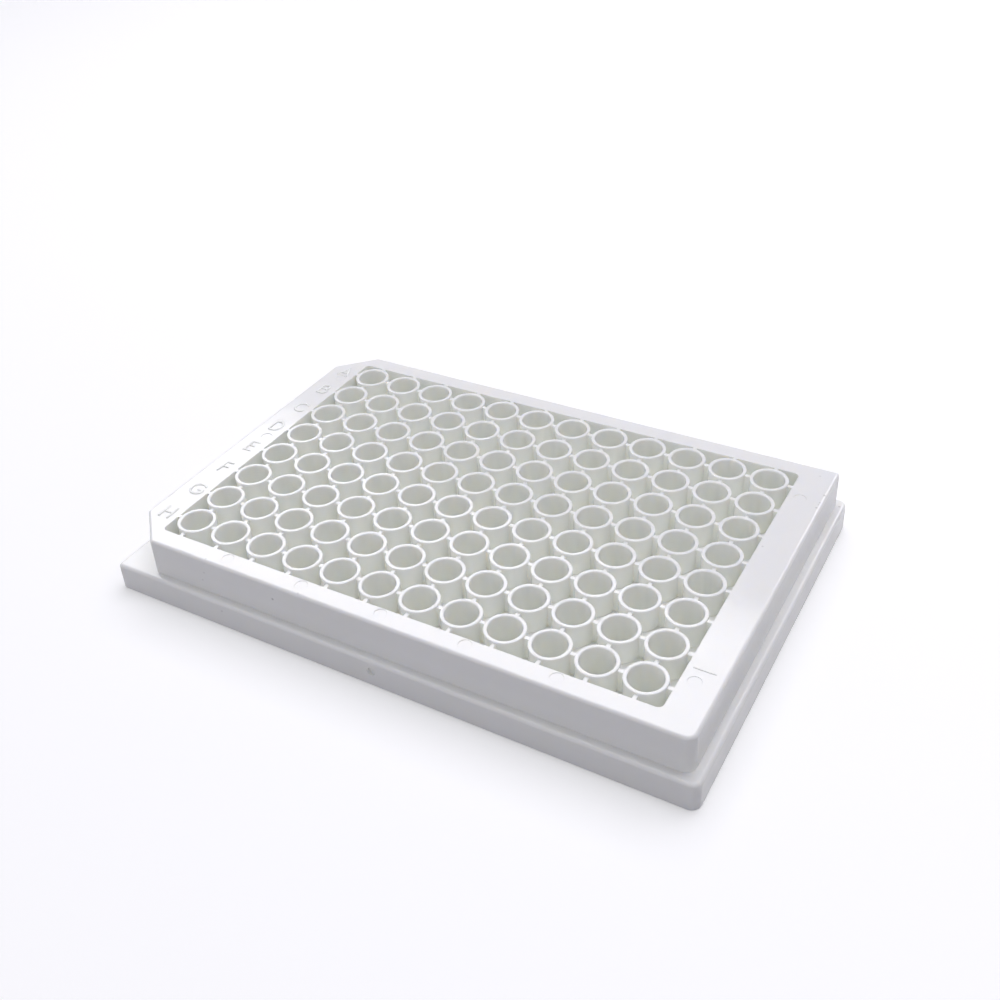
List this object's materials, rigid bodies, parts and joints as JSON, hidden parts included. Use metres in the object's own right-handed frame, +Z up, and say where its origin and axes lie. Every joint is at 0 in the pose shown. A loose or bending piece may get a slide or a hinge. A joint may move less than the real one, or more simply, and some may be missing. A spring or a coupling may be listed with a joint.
{
  "type": "well plate",
  "caption": "White well plate: a low skirted frame with two corners cut off, holding a grid of round flat-bottomed wells with raised rims for small liquid samples.",
  "frame": {"origin": "middle of the footprint, on the surface the plate stands on", "axes": "+X along the rows from column 1 to column 12, +Y from row H to row A, +Z up out of the wells"},
  "size_m": [0.1278, 0.0854, 0.0146],
  "materials": {
    "white_polystyrene": "opaque white polystyrene, moulded smooth with a soft gloss"
  },
  "bodies": {
    "root": {"well_plate": "white_polystyrene"}
  },
  "joints": []
}
